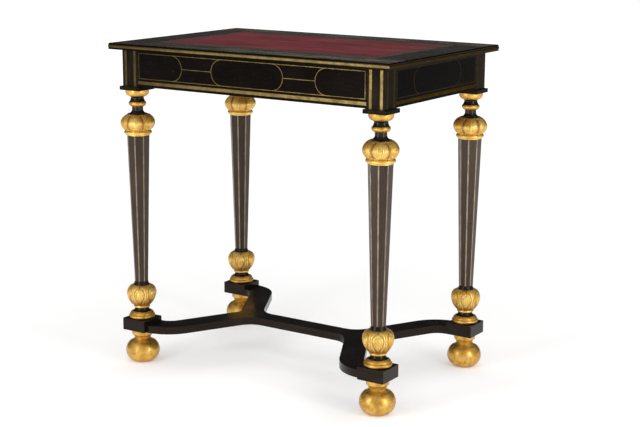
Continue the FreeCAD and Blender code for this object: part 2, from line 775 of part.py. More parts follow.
# The drawer
def make_tail(name, x, middle):
    """One dovetail of a drawer side, which widens towards the face of the drawer front."""
    body = doc.addObject("PartDesign::Body", name)
    root_at = -drawer_front_back
    end_at = root_at - dim.tail_length
    sketch = outline(body, "YZ_Plane", [
        (root_at, middle - dim.tail_root / 2),
        (root_at, middle + dim.tail_root / 2),
        (end_at, middle + dim.tail_end / 2),
        (end_at, middle - dim.tail_end / 2),
    ])
    pad = body.newObject("PartDesign::Pad", name + "_pad")
    pad.Profile = sketch
    bind(pad, "Length", dim.drawer_side_thickness)
    body.Tip = pad
    place(body, x, 0, 0)
    return body


def make_drawer():
    side_back = -drawer_front_back + dim.drawer_length
    back_far = side_back - dim.back_inset
    back_near = back_far - dim.drawer_side_thickness
    floor_top = drawer_floor + dim.drawer_bottom_thickness
    groove_x = drawer_side_in + dim.groove_depth
    floor = box("drawer_floor_board", both(groove_x), (-drawer_front_back - dim.groove_depth, side_back),
                (drawer_floor, floor_top))
    back = box("drawer_back_board", both(groove_x), (back_near, back_far), (floor_top, drawer_side_top))
    tails = []
    for side, sign in SIDES.items():
        across = span(sign, drawer_side_in, drawer_side_out)
        quarter = (drawer_side_top - drawer_side_low) / 4
        pair = [make_tail(side + "_tail", across[0], drawer_side_low + quarter),
                make_tail(side + "_tail", across[0], drawer_side_top - quarter)]
        board = box(side + "_drawer_board", across, (-drawer_front_back, side_back),
                    (drawer_side_low, drawer_side_top))
        tailed = fuse(side + "_drawer_tailed", board, *pair)
        finish("drawer_side_" + side, cut(side + "_drawer_side", tailed, floor, back))
        tails += pair
    face_half = long_half - dim.reveal
    face_top = top_under - dim.reveal
    face = box("drawer_face", both(face_half), (-long_face, -drawer_front_back), (apron_low, face_top))
    finger = box("finger_groove", both(dim.finger_length / 2),
                 (-drawer_front_back - dim.finger_width, -drawer_front_back),
                 (apron_low, apron_low + dim.finger_depth))
    apexes = [(dim.inner_apex, 1), (dim.outer_apex, -1)]
    brass = make_inlay("drawer_brass", face_half, face_top - apron_low, apexes, True)
    put_on_face(brass, 0, 0, -long_face)
    finish("drawer_inlay", brass)
    finish("drawer_front", cut("drawer_face_cut", face, finger, brass, floor, *tails))
    finish("drawer_bottom", floor)
    finish("drawer_back", back)


# The top
def edge_band_levels():
    low = top_under + dim.lower_lip
    return low, low + dim.edge_band_height


def make_top():
    half_x = dim.top_length / 2 - dim.edge_bulge
    half_y = dim.top_width / 2 - dim.edge_bulge
    body = plate("top_plate", [(-half_x, -half_y), (half_x, -half_y), (half_x, half_y), (-half_x, half_y)],
                 top_under, dim.top_thickness)
    doc.recompute()
    pad = body.Tip
    upper_edges = []
    for index, edge in enumerate(pad.Shape.Edges):
        if edge.BoundBox.ZMin > dim.top_thickness.value / 2:
            upper_edges.append("Edge%d" % (index + 1))
    rounding = body.newObject("PartDesign::Fillet", "top_lip")
    rounding.Base = (pad, upper_edges)
    bind(rounding, "Radius", dim.lip_radius)
    body.Tip = rounding
    low, high = edge_band_levels()
    inner_x = dim.top_length / 2 - dim.edge_band_depth
    inner_y = dim.top_width / 2 - dim.edge_band_depth
    groove = cut("edge_groove",
                 box("edge_outer", both(dim.top_length / 2), both(dim.top_width / 2), (low, high)),
                 box("edge_inner", both(inner_x), both(inner_y), (low, high)))
    leather = box("leather_sheet", both(dim.top_length / 2 - dim.leather_border),
                  both(dim.top_width / 2 - dim.leather_border),
                  (dim.table_height - dim.leather_thickness, dim.table_height))
    finish("top_board", cut("top_cut", body, groove, leather))
    finish("leather_panel", leather)
    band = doc.addObject("Part::Feature", "edge_strips")
    band.Shape = Part.Compound(edge_strip_shapes())
    finish("top_edge_band", band)


def edge_strip_shapes():
    """Four strips with a swelling face, mitred where they meet."""
    low, high = [level.value for level in edge_band_levels()]
    bulge = dim.edge_bulge.value
    depth = dim.edge_band_depth.value
    half_sizes = (dim.top_length.value / 2, dim.top_width.value / 2)
    strips = []
    for turn in range(4):
        along = half_sizes[turn % 2]
        out = half_sizes[(turn + 1) % 2]
        corner_low = FreeCAD.Vector(-along, -out + bulge, low)
        corner_high = FreeCAD.Vector(-along, -out + bulge, high)
        swell = FreeCAD.Vector(-along, -out, (low + high) / 2)
        back_low = FreeCAD.Vector(-along, -out + depth, low)
        back_high = FreeCAD.Vector(-along, -out + depth, high)
        section = Part.Wire([
            Part.Arc(corner_low, swell, corner_high).toShape(),
            Part.makeLine(corner_high, back_high),
            Part.makeLine(back_high, back_low),
            Part.makeLine(back_low, corner_low),
        ])
        strip = Part.Face(section).extrude(FreeCAD.Vector(2 * along, 0, 0))
        reach = 2 * depth
        mitre = Part.makePolygon([
            FreeCAD.Vector(-along, -out, low),
            FreeCAD.Vector(along, -out, low),
            FreeCAD.Vector(along - reach, -out + reach, low),
            FreeCAD.Vector(-along + reach, -out + reach, low),
            FreeCAD.Vector(-along, -out, low),
        ])
        strip = strip.common(Part.Face(mitre).extrude(FreeCAD.Vector(0, 0, high - low)))
        strip.rotate(FreeCAD.Vector(0, 0, 0), UPRIGHT, 90 * turn)
        strips += strip.Solids
    return strips


# The stretcher
def arm_stations():
    """Outline of one arm from the fork to its block, for positive x and y."""
    half = dim.stretcher_width / 2
    sin_slope = sine(dim.arm_angle)
    cos_slope = cosine(dim.arm_angle)
    inner = dim.arm_bend - half
    outer = dim.arm_bend + half
    flank_inner = dim.arm_bend - dim.arm_flank
    flank_outer = dim.arm_bend + dim.arm_flank
    straight = (leg_y - dim.arm_bend * 2 * (as_size(1) - cos_slope)) / sin_slope
    fork_x = arm_end - dim.arm_bend * 2 * sin_slope - straight * cos_slope
    bend_y = leg_y - dim.arm_bend
    throat_reach = flank_outer + dim.throat_radius
    throat_x = fork_x + root(throat_reach * throat_reach - dim.arm_bend * dim.arm_bend)
    share = flank_outer / throat_reach
    stations = [
        (fork_x, 0),
        (throat_x - dim.throat_radius, 0, bend(dim.throat_radius, -1)),
        (fork_x + (throat_x - fork_x) * share, dim.arm_bend - dim.arm_bend * share, bend(flank_outer, 1)),
        (fork_x + flank_outer * sin_slope, dim.arm_bend - flank_outer * cos_slope),
        (arm_end - flank_inner * sin_slope, bend_y + flank_inner * cos_slope, bend(flank_inner, -1)),
        (arm_end, leg_y - dim.arm_flank),
        (arm_end, leg_y + half, bend(outer, 1)),
        (arm_end - outer * sin_slope, bend_y + outer * cos_slope),
        (fork_x + inner * sin_slope, dim.arm_bend - inner * cos_slope, bend(inner, -1)),
        (fork_x, half),
    ]
    return fork_x, stations


def make_stretcher():
    fork_x, stations = arm_stations()
    thick = dim.stretcher_thickness
    half = dim.stretcher_width / 2
    room = dim.tenon_clearance
    tongue_half = half / 2
    bar = fuse("bar_tongued",
               box("bar_body", both(fork_x), both(half), (stretcher_low, stretcher_low + thick)),
               box("bar_tongue", both(fork_x + dim.tongue_length), both(tongue_half),
                   about(arm_middle, dim.tenon_thickness)))
    finish("stretcher_bar", bar)
    quarter_turns = {
        "front_left": FreeCAD.Rotation(UPRIGHT, 180),
        "front_right": FreeCAD.Rotation(FreeCAD.Vector(1, 0, 0), 180),
        "back_left": FreeCAD.Rotation(FreeCAD.Vector(0, 1, 0), 180),
        "back_right": FreeCAD.Rotation(UPRIGHT, 0),
    }
    for corner, turn in quarter_turns.items():
        middle = thick / 2
        body = plate("arm_plate", stations, -middle, thick)
        tenon = box("arm_tenon", (arm_end, arm_end + dim.tenon_length), about(leg_y, half),
                    both(dim.tenon_thickness / 2))
        slot = box("tongue_slot", (fork_x, fork_x + dim.tongue_length + room), (0, tongue_half + room),
                   both(dim.tenon_thickness / 2 + room))
        arm = cut("arm", fuse("arm_tenoned", body, tenon), slot)
        arm.Placement.Rotation = turn
        place(arm, 0, 0, arm_middle)
        finish("stretcher_arm_" + corner, arm)


def check_model():
    """Stops before anything is written if an object failed or a shape is not sound."""
    doc.recompute()
    for thing in doc.Objects:
        if "Invalid" in thing.State or "Error" in thing.State:
            raise RuntimeError("%s failed: %s" % (thing.Label, thing.State))
    for piece in subparts:
        if piece.Shape.isNull() or not piece.Shape.isValid() or not piece.Shape.Solids:
            raise RuntimeError("%s has no sound shape" % piece.Label)


def main():
    strips = []
    for corner, (x_sign, y_sign) in CORNERS.items():
        x = leg_x * x_sign
        y = leg_y * y_sign
        strips += make_block(corner, x, y, x_sign, y_sign)
        make_abacus(corner, x, y)
        make_neck(corner, x, y)
        make_capital(corner, x, y)
        make_shaft(corner, x, y)
        make_bulb(corner, x, y)
        make_base(corner, x, y)
        make_stretcher_block(corner, x, y, x_sign)
        make_foot(corner, x, y)
    finish("block_strips", group("all_strips", *strips))
    make_shaft_strings()
    make_aprons()
    make_rails()
    make_runners_and_kickers()
    make_drawer()
    make_top()
    make_stretcher()
    check_model()
    os.makedirs("parts", exist_ok=True)
    for piece in subparts:
        piece.Shape.exportStep("parts/%s.step" % piece.Label)
        print("%-28s %2d solids %12.1f mm3" % (piece.Label, len(piece.Shape.Solids), piece.Shape.Volume))


main()
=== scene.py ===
"""Looks of an ebonised, brass-inlaid and parcel-gilt centre table."""

import math

import bpy
import numpy as np
from mathutils import Matrix, Vector


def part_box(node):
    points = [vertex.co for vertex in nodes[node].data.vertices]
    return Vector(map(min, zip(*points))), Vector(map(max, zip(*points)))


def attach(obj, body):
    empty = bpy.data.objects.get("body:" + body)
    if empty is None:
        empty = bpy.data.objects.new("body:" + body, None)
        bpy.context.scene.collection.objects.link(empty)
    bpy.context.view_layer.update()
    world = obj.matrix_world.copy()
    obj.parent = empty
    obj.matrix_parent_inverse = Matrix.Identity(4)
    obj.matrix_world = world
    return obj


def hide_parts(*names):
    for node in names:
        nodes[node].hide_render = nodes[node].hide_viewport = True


MM = 0.001
CORNERS = ("front_left", "front_right", "back_left", "back_right")
SHARP_ANGLE = math.radians(50)

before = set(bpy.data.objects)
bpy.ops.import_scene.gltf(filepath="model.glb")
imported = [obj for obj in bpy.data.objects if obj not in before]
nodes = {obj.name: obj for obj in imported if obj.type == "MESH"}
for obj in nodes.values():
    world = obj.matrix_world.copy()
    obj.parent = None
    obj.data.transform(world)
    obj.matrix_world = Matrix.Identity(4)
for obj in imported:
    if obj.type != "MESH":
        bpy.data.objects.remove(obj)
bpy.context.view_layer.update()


# Colours, linear
def colour(red, green, blue):
    return (red, green, blue, 1.0)


WHITE = colour(1.0, 1.0, 1.0)
FLOOR_GREY = colour(0.87, 0.87, 0.87)
FLOOR_PALE = colour(0.89, 0.89, 0.89)

BLACK = colour(0.0022, 0.0016, 0.0013)
FRIEZE_DARK = colour(0.0024, 0.0016, 0.0013)
FRIEZE_WORN = colour(0.0075, 0.005, 0.004)
# Darker copies of the frieze tones for the end aprons, as painted shade
FRIEZE_END_SHADED_DARK = colour(0.0012, 0.0009, 0.0007)
FRIEZE_END_SHADED_WORN = colour(0.004, 0.003, 0.0024)
TOP_DARK = colour(0.010, 0.0075, 0.0055)
TOP_WORN = colour(0.045, 0.034, 0.024)
BLOCK_DARK = colour(0.0105, 0.0075, 0.0058)
BLOCK_WORN = colour(0.027, 0.0195, 0.015)
SHAFT_DARK = colour(0.028, 0.020, 0.0155)
SHAFT_WORN = colour(0.052, 0.037, 0.029)
STRETCHER_DARK = colour(0.005, 0.0034, 0.003)
STRETCHER_WORN = colour(0.02, 0.0135, 0.0115)
NECK_DARK = colour(0.002, 0.0018, 0.0016)
NECK_WORN = colour(0.007, 0.006, 0.005)
RUBBED_BROWN = colour(0.055, 0.038, 0.026)
SCUFF_GREY = colour(0.20, 0.18, 0.135)
POLISH_TINT = colour(1.0, 0.8, 0.66)

BRASS = colour(0.26, 0.186, 0.064)
BRASS_DULL = colour(0.17, 0.12, 0.04)
STRING_BRASS = colour(0.34, 0.275, 0.195)
STRING_BRASS_DULL = colour(0.25, 0.20, 0.14)
BRASS_SCRATCH = colour(0.08, 0.06, 0.028)
# Brown of the painted shade on the brass
BRASS_SHADE_BROWN = colour(0.03, 0.02, 0.01)
BRASS_RIM = colour(0.5, 0.4, 0.2)

GOLD = colour(0.84, 0.50, 0.09)
DEEP_GOLD = colour(0.56, 0.29, 0.03)
PALE_GOLD = colour(1.0, 0.715, 0.2)
WARM_GOLD = colour(0.82, 0.465, 0.05)
# Amber of the painted shade on the carving
SHADE_AMBER = colour(0.42, 0.17, 0.012)
BOLE = colour(0.14, 0.06, 0.014)
GILT_RIM = colour(0.22, 0.14, 0.05)

CRIMSON = colour(0.25, 0.026, 0.034)
DARK_CRIMSON = colour(0.15, 0.017, 0.023)
CRIMSON_STREAK = colour(0.075, 0.012, 0.015)
SCUFFED_PINK = colour(0.25, 0.09, 0.085)
WORN_HIDE = colour(0.075, 0.046, 0.037)
HIDE_RIM = colour(0.20, 0.155, 0.115)

OAK = colour(0.33, 0.19, 0.085)
OAK_BROAD = colour(0.24, 0.13, 0.055)
OAK_FIBRE = colour(0.13, 0.065, 0.028)


# Materials
class Graph:
    """A material and short calls that add its nodes."""

    def __init__(self, name):
        self.material = bpy.data.materials.new(name)
        self.material.use_nodes = True
        self.tree = self.material.node_tree
        self.shader = self.tree.nodes["Principled BSDF"]
        coordinates = self.node("TexCoord")
        self.place = coordinates["Object"]
        self.facing = coordinates["Normal"]

    def feed(self, socket, value):
        """Links a socket to another one, or sets its value."""
        if isinstance(value, bpy.types.NodeSocket):
            self.tree.links.new(value, socket)
        else:
            socket.default_value = value

    def node(self, kind, *ordered, **named):
        """Adds a node, sets its inputs and properties, and gives its outputs."""
        item = self.tree.nodes.new("ShaderNode" + kind)
        for key, value in named.items():
            if key in item.bl_rna.properties:
                setattr(item, key, value)
            else:
                self.feed(item.inputs[key], value)
        for index, value in enumerate(ordered):
            self.feed(item.inputs[index], value)
        return item.outputs

    def set(self, **inputs):
        """Sets inputs of the shader, with _ for each space in their names."""
        for key, value in inputs.items():
            self.feed(self.shader.inputs[key.replace("_", " ")], value)

    def math(self, operation, first, second=0.0):
        return self.node("Math", first, second, operation=operation)[0]

    def ramp(self, value, low, high, start=0.0, end=1.0):
        """A smooth step from start, where the value is low, to end, where it is high."""
        return self.node("MapRange", value, low, high, start, end,
                         interpolation_type="SMOOTHSTEP")[0]

    def mix(self, share, first, second):
        """A colour between two, given the second one's share."""
        item = self.tree.nodes.new("ShaderNodeMix")
        item.data_type = "RGBA"
        for index, value in ((0, share), (6, first), (7, second)):
            self.feed(item.inputs[index], value)
        return item.outputs[2]

    def noise(self, scale, detail=4.0, stretch=(1, 1, 1), shift=0.0):
        """Noise that is long along the axes whose stretch is small."""
        where = self.node("Mapping", Vector=self.place, Scale=stretch,
                          Location=(shift, shift, shift))[0]
        return self.node("TexNoise", Vector=where, Scale=scale, Detail=detail)["Fac"]

    def axis(self, index):
        """The place along x, y or z, in metres."""
        return self.node("SeparateXYZ", self.place)[index]

    def bump(self, height, strength, depth):
        bumped = self.node("Bump", Strength=strength, Distance=depth, Height=height)
        self.set(Normal=bumped["Normal"])

    def edges(self, radius):
        """1 on edges and 0 on flat faces."""
        soft = self.node("Bevel", Radius=radius, samples=4)[0]
        plain = self.node("NewGeometry")["Normal"]
        likeness = self.node("VectorMath", soft, plain, operation="DOT_PRODUCT")["Value"]
        return self.ramp(likeness, low=0.985, high=0.88)


GRAIN = {"x": (0.05, 1, 1), "y": (1, 0.05, 1), "z": (1, 1, 0.05)}

# Metres across the table, from its middle, where the wear of the borders begins and is full
WEAR_BEGINS = 0.165
WEAR_FULL = 0.19


def border_wear(graph):
    """Streaks along the top's borders, most where arms rest: on the front, towards the right."""
    towards_right = graph.ramp(graph.axis(0), low=-0.3, high=0.2, start=0.2)
    front = graph.math("MULTIPLY", graph.ramp(graph.axis(1), -WEAR_BEGINS, -WEAR_FULL),
                       towards_right)
    back = graph.ramp(graph.axis(1), WEAR_BEGINS, WEAR_FULL, start=0.1, end=0.75)
    streak = graph.noise(scale=170.0, detail=7.0, stretch=(0.06, 1, 1), shift=9.0)
    patch = graph.noise(scale=9.0, shift=11.0)
    marks = graph.math("MULTIPLY", graph.ramp(streak, low=0.38, high=0.62),
                       graph.ramp(patch, low=0.35, high=0.55, start=0.5))
    return graph.math("MULTIPLY", graph.math("MAXIMUM", front, back), marks)


def ebonised(name, along, dark, worn, gloss, shine, scuffs_and_edge_shade=0.0, painted_end_shade=0.0, black_below=None):
    """Black stained and polished wood with fine grain along one axis and rubbed edges.

    The last three arguments are the share of pale wear on the borders of the top, which also
    makes every face of the top that doesn't look up black, as painted shade; the share of
    black painted shade on faces that look left or right; and the level, in millimetres, under
    which the wood is black.
    """
    graph = Graph(name)
    fibre = graph.noise(scale=420.0, detail=6.0, stretch=GRAIN[along])
    cloud = graph.noise(scale=14.0, detail=5.0, shift=3.0)
    speck = graph.noise(scale=160.0, detail=3.0, shift=7.0)
    rubbed = graph.math("MULTIPLY", graph.edges(radius=1.4 * MM),
                        graph.ramp(speck, low=0.35, high=0.6))
    tone = graph.mix(graph.ramp(fibre, low=0.4, high=0.7, end=0.7), dark, worn)
    tone = graph.mix(graph.ramp(cloud, low=0.45, high=0.75, end=0.6), tone, worn)
    tone = graph.mix(graph.math("MULTIPLY", rubbed, 0.7), tone, RUBBED_BROWN)
    tone = graph.mix(graph.ramp(speck, low=0.66, high=0.74, end=0.35), tone, RUBBED_BROWN)
    facing = graph.node("SeparateXYZ", graph.facing)
    if scuffs_and_edge_shade:
        tone = graph.mix(graph.math("MULTIPLY", border_wear(graph), scuffs_and_edge_shade), tone, SCUFF_GREY)
        # Painted shade: every face of the top that doesn't look up goes black.
        tone = graph.mix(graph.ramp(facing[2], low=0.9, high=0.99), BLACK, tone)
    if painted_end_shade:
        # Painted shade: black on faces that look left or right.
        end = graph.math("ABSOLUTE", facing[0])
        tone = graph.mix(graph.ramp(end, low=0.5, high=0.9, end=painted_end_shade), tone, BLACK)
    if black_below:
        low_down = graph.math("LESS_THAN", graph.axis(2), black_below * MM)
        tone = graph.mix(low_down, tone, BLACK)
    rough = graph.ramp(cloud, low=0.3, high=0.7, start=gloss, end=gloss + 0.12)
    graph.set(Base_Color=tone, Roughness=rough, Specular_IOR_Level=shine,
              Specular_Tint=POLISH_TINT)
    graph.bump(fibre, strength=0.1, depth=0.12 * MM)
    return graph.material


def brass(name, bright, dull, painted_shade_share):
    """Old rolled brass with dull clouds and scratches.

    The last argument is the share of painted shade, in brown, on the ends of the table
    and, rising, towards its left.
    """
    graph = Graph(name)
    cloud = graph.noise(scale=45.0, detail=5.0)
    scratch = graph.noise(scale=260.0, detail=3.0, stretch=(0.2, 0.2, 1))
    end = graph.math("ABSOLUTE", graph.node("SeparateXYZ", graph.facing)[0])
    on_ends = graph.ramp(end, low=0.5, high=0.9)
    towards_left = graph.ramp(graph.axis(0), low=-0.05, high=-0.36, end=0.8)
    # Painted shade: brown on the ends of the table and towards its left, where less light falls.
    painted_brass_shade = graph.math("MULTIPLY", graph.math("MAXIMUM", on_ends, towards_left), painted_shade_share)
    tone = graph.mix(graph.ramp(cloud, low=0.35, high=0.65), bright, dull)
    tone = graph.mix(graph.ramp(scratch, low=0.6, high=0.75, end=0.5), tone, BRASS_SCRATCH)
    tone = graph.mix(painted_brass_shade, tone, BRASS_SHADE_BROWN)
    graph.set(Base_Color=tone, Metallic=1.0, Specular_Tint=BRASS_RIM,
              Roughness=graph.ramp(cloud, low=0.3, high=0.7, start=0.36, end=0.52))
    graph.bump(scratch, strength=0.08, depth=0.1 * MM)
    return graph.material


GILT_METAL = 0.9


def gold_tone(graph, light, deep):
    """Colour and roughness of worn satin gilding: mottled, and rubbed to its ground in spots."""
    cloud = graph.noise(scale=70.0, detail=6.0, shift=1.0)
    spot = graph.noise(scale=280.0, shift=5.0)
    tone = graph.mix(graph.ramp(cloud, low=0.34, high=0.7), light, deep)
    tone = graph.mix(graph.ramp(spot, low=0.58, high=0.7, end=0.6), tone, BOLE)
    graph.bump(graph.math("ADD", spot, cloud), strength=0.2, depth=0.35 * MM)
    return tone, graph.ramp(cloud, low=0.3, high=0.7, start=0.38, end=0.5)


def gilt(name, light, deep):
    """Gilding with amber painted shade in the carving's lines, lobe sides, crown and foot."""
    graph = Graph(name)
    carved_shade = graph.node("Attribute", attribute_name="recess")["Fac"]
    tone, rough = gold_tone(graph, light, deep)
    # Painted shade in amber: the carved lines, the sides of the lobes, and the crown and foot.
    tone = graph.mix(graph.math("MULTIPLY", carved_shade, 0.9), tone, SHADE_AMBER)
    graph.set(Base_Color=tone, Metallic=GILT_METAL, Roughness=rough, Specular_Tint=GILT_RIM,
              Coat_Weight=0.8, Coat_Roughness=0.2)
    return graph.material


def parcel_gilt(name, bands):
    """Gilt between each pair of levels, in millimetres, and black elsewhere."""
    graph = Graph(name)
    uneven = graph.math("SUBTRACT", graph.noise(scale=300.0, detail=2.0), 0.5)
    level = graph.math("ADD", graph.axis(2), graph.math("MULTIPLY", uneven, 1.2 * MM))
    golden = 0.0
    for low, high in bands:
        above = graph.math("GREATER_THAN", level, low * MM)
        below = graph.math("LESS_THAN", level, high * MM)
        golden = graph.math("MAXIMUM", golden, graph.math("MULTIPLY", above, below))
    tone, rough = gold_tone(graph, GOLD, DEEP_GOLD)
    wear = graph.ramp(graph.noise(scale=40.0), low=0.4, high=0.7)
    black = graph.mix(wear, NECK_DARK, NECK_WORN)
    smoother = graph.ramp(golden, low=0.0, high=1.0, start=0.42)
    graph.set(Base_Color=graph.mix(golden, black, tone),
              Metallic=graph.math("MULTIPLY", golden, GILT_METAL),
              Roughness=graph.math("MULTIPLY", rough, smoother),
              Specular_IOR_Level=0.0, Specular_Tint=GILT_RIM,
              Coat_Weight=0.6, Coat_Roughness=0.05)
    return graph.material


# Half the leather's size along x and y, in metres
LEATHER_HALF_X = 0.298
LEATHER_HALF_Y = 0.170


def leather():
    """Crimson hide, streaked along the table, scuffed pink and worn grey-brown round its edge."""
    graph = Graph("leather")
    streak = graph.noise(scale=110.0, detail=8.0, stretch=(0.07, 1, 1))
    cloud = graph.noise(scale=11.0, detail=5.0, stretch=(0.5, 1, 1), shift=2.0)
    grain = graph.node("TexVoronoi", Vector=graph.place, Scale=900.0)["Distance"]
    scuff = graph.noise(scale=90.0, detail=7.0, stretch=(0.08, 1, 1), shift=4.0)
    inset_x = graph.math("SUBTRACT", LEATHER_HALF_X, graph.math("ABSOLUTE", graph.axis(0)))
    inset_y = graph.math("SUBTRACT", LEATHER_HALF_Y, graph.math("ABSOLUTE", graph.axis(1)))
    inset = graph.math("MINIMUM", inset_x, inset_y)
    wander = graph.math("MULTIPLY", graph.math("SUBTRACT", cloud, 0.5), 0.06)
    worn_edge = graph.ramp(graph.math("ADD", inset, wander), low=0.0, high=0.045,
                           start=0.85, end=0.0)
    rim = graph.math("MULTIPLY", graph.ramp(inset, low=0.0045, high=0.001),
                     graph.ramp(scuff, low=0.4, high=0.6))
    tone = graph.mix(graph.ramp(cloud, low=0.36, high=0.66), CRIMSON, DARK_CRIMSON)
    tone = graph.mix(graph.ramp(streak, low=0.42, high=0.66, end=0.65), tone, CRIMSON_STREAK)
    tone = graph.mix(graph.ramp(scuff, low=0.53, high=0.7, end=0.55), tone, SCUFFED_PINK)
    tone = graph.mix(worn_edge, tone, WORN_HIDE)
    tone = graph.mix(graph.math("MULTIPLY", rim, 0.8), tone, HIDE_RIM)
    graph.set(Base_Color=tone, Specular_IOR_Level=0.2,
              Roughness=graph.ramp(cloud, low=0.3, high=0.7, start=0.42, end=0.58))
    graph.bump(graph.math("ADD", grain, scuff), strength=0.2, depth=0.15 * MM)
    return graph.material


def oak(name, along):
    """Plain oak of the drawer and its rails."""
    graph = Graph(name)
    fibre = graph.noise(scale=150.0, detail=8.0, stretch=GRAIN[along])
    broad = graph.noise(scale=18.0, detail=3.0, stretch=GRAIN[along], shift=2.0)
    tone = graph.mix(graph.ramp(broad, low=0.35, high=0.65), OAK, OAK_BROAD)
    tone = graph.mix(graph.ramp(fibre, low=0.52, high=0.66, end=0.7), tone, OAK_FIBRE)
    graph.set(Base_Color=tone, Specular_IOR_Level=0.3,
              Roughness=graph.ramp(fibre, low=0.3, high=0.7, start=0.5, end=0.68))
    graph.bump(fibre, strength=0.2, depth=0.25 * MM)
    return graph.material


# Levels of finishes on the legs, in millimetres above the floor
NECK_GILT_BANDS = ((612.0, 624.0), (636.5, 660.0))
BASE_GILT_BANDS = ((0.0, 123.5),)
SHAFT_FOOT_LEVEL = 197.5


def dress_nodes():
    """Gives every solid its finish, and replaces the carved turnings and the leather."""
    frieze_x = ebonised("ebonised_along_x", "x", FRIEZE_DARK, FRIEZE_WORN, gloss=0.2, shine=0.04)
    # The end aprons get the darker copies, as painted shade.
    shaded_end_frieze = ebonised("ebonised_along_y", "y", FRIEZE_END_SHADED_DARK, FRIEZE_END_SHADED_WORN,
                        gloss=0.2, shine=0.01)
    board = ebonised("ebonised_top", "x", TOP_DARK, TOP_WORN, gloss=0.22, shine=0.05, scuffs_and_edge_shade=0.85)
    upright = ebonised("ebonised_block", "z", BLOCK_DARK, BLOCK_WORN, gloss=0.24, shine=0.03,
                       painted_end_shade=0.9)
    shaft = ebonised("ebonised_shaft", "z", SHAFT_DARK, SHAFT_WORN, gloss=0.26, shine=0.35,
                     black_below=SHAFT_FOOT_LEVEL)
    flat = ebonised("ebonised_stretcher", "x", STRETCHER_DARK, STRETCHER_WORN,
                    gloss=0.14, shine=0.22)
    metal = brass("brass", BRASS, BRASS_DULL, painted_shade_share=0.85)
    pale_metal = brass("pale_brass", STRING_BRASS, STRING_BRASS_DULL, painted_shade_share=0.0)
    gilding = gilt("gilding", GOLD, DEEP_GOLD)
    carved_gilding = gilt("carved_gilding", PALE_GOLD, WARM_GOLD)
    hide = leather()
    oak_x = oak("oak_along_x", "x")
    oak_y = oak("oak_along_y", "y")
    neck = parcel_gilt("neck_finish", NECK_GILT_BANDS)
    base = parcel_gilt("base_finish", BASE_GILT_BANDS)
    finishes = {
        "top_board": board, "leather_panel": hide, "top_edge_band": metal,
        "drawer_front": frieze_x, "apron_back": frieze_x,
        "apron_left": shaded_end_frieze, "apron_right": shaded_end_frieze,
        "apron_inlay": metal, "drawer_inlay": metal, "block_strips": metal,
        "shaft_strings": pale_metal, "stretcher_bar": flat,
        "upper_rail": oak_x, "lower_rail": oak_x, "drawer_back": oak_x, "drawer_bottom": oak_x,
        "drawer_side_left": oak_y, "drawer_side_right": oak_y,
        "drawer_runners": oak_y, "drawer_kickers": oak_y,
    }
    leg_finishes = {
        "corner_block_": upright, "abacus_": upright, "leg_neck_": neck,
        "leg_capital_": carved_gilding, "leg_shaft_": shaft, "leg_bulb_": carved_gilding,
        "leg_base_": base, "stretcher_block_": flat, "stretcher_arm_": flat, "bun_foot_": gilding,
    }
    for corner in CORNERS:
        finishes.update({kind + corner: finish for kind, finish in leg_finishes.items()})
    for name, finish in finishes.items():
        slots = nodes[name].data.materials
        slots.clear()
        slots.append(finish)
    carve_legs(carved_gilding)
    lay_leather(hide)


# Carved gilt turnings. Sizes are in millimetres; places across a leaf and heights up the carved
# body run from 0 to 1.
LEAVES = 6
SIDES = 300
FIRST_MIDRIB = math.radians(30)
BORE_RADIUS = 9.2
MELON_SMOOTHING = 60
VEIN_PLACES = (0.17, 0.36, 0.54)
RIB_PLACES = (0.14, 0.58)


def arc(start, end, swell, count):
    """Points of a circular arc that bows outwards from its chord by swell."""
    start, end = np.array(start), np.array(end)
    chord = end - start
    length = np.hypot(*chord)
    along = chord / length
    outward = np.array((along[1], -along[0]))
    half_turn = 2 * math.atan(2 * swell / length)
    radius = length / 2 / math.sin(half_turn)
    turns = np.linspace(-half_turn, half_turn, count)[:, None]
    middle = (start + end) / 2 - outward * radius * math.cos(half_turn)
    return middle + along * radius * np.sin(turns) + outward * radius * np.cos(turns)


def ridge(distance, width):
    """A soft line: 1 at no distance, and near 0 beyond about twice the width."""
    return np.exp(-(distance / width) ** 2)


def step_up(value, low, high):
    """A smooth step from 0, where the value is low, to 1, where it is high."""
    share = np.clip((value - low) / (high - low), 0, 1)
    return share * share * (3 - 2 * share)


def between(value, rise, fall):
    """1 between two smooth steps, each given by the values where it is 0 and 1."""
    return step_up(value, *rise) * step_up(value, *fall)


def leaf_place(angle):
    """Place across a leaf: 0 on its midrib and 1 where it meets its neighbour."""
    share = (angle - FIRST_MIDRIB) / (2 * math.pi / LEAVES)
    return np.abs((share + 0.5) % 1.0 * 2 - 1)


def round_head(height, shoulder, length):
    """Width of a leaf with a round head: 1 up to its shoulder and 0 at its tip."""
    return np.sqrt(np.clip(1 - np.clip((height - shoulder) / length, 0, 1) ** 2, 0, 1))


